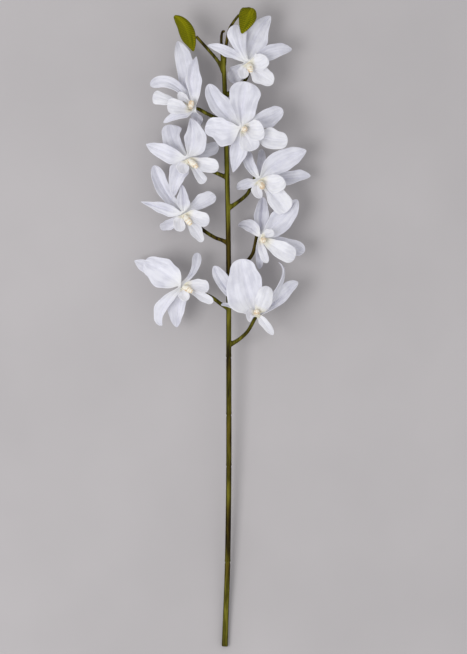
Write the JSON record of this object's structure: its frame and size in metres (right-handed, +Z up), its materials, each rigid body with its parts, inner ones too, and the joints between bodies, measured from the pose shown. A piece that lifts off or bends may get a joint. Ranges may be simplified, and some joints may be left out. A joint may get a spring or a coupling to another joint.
{
  "type": "cut orchid spray",
  "caption": "White orchid spray cut from its plant, lying on its back: open flowers and green buds on a bare olive stem.",
  "frame": {"origin": "middle of the bounding box's underside, on the surface the spray lies on", "axes": "+Y from the cut end of the stem to its tip, +Z up from the surface, towards the side the flowers face"},
  "size_m": [0.2077, 0.7505, 0.0766],
  "materials": {
    "petal": "matte",
    "lip": "matte",
    "column": "matte",
    "stem": "satin",
    "bud": "satin"
  },
  "bodies": {
    "root": {"stem": "stem", "bud_left": "bud", "bud_right": "bud", "flower1_sepals": "petal", "flower1_petals": "petal", "flower1_lip": "lip", "flower1_column": "column", "flower2_sepals": "petal", "flower2_petals": "petal", "flower2_lip": "lip", "flower2_column": "column", "flower3_sepals": "petal", "flower3_petals": "petal", "flower3_lip": "lip", "flower3_column": "column", "flower4_sepals": "petal", "flower4_petals": "petal", "flower4_lip": "lip", "flower4_column": "column", "flower5_sepals": "petal", "flower5_petals": "petal", "flower5_lip": "lip", "flower5_column": "column", "flower6_sepals": "petal", "flower6_petals": "petal", "flower6_lip": "lip", "flower6_column": "column", "flower7_sepals": "petal", "flower7_petals": "petal", "flower7_lip": "lip", "flower7_column": "column", "flower8_sepals": "petal", "flower8_petals": "petal", "flower8_lip": "lip", "flower8_column": "column", "flower9_sepals": "petal", "flower9_petals": "petal", "flower9_lip": "lip", "flower9_column": "column"}
  },
  "joints": []
}
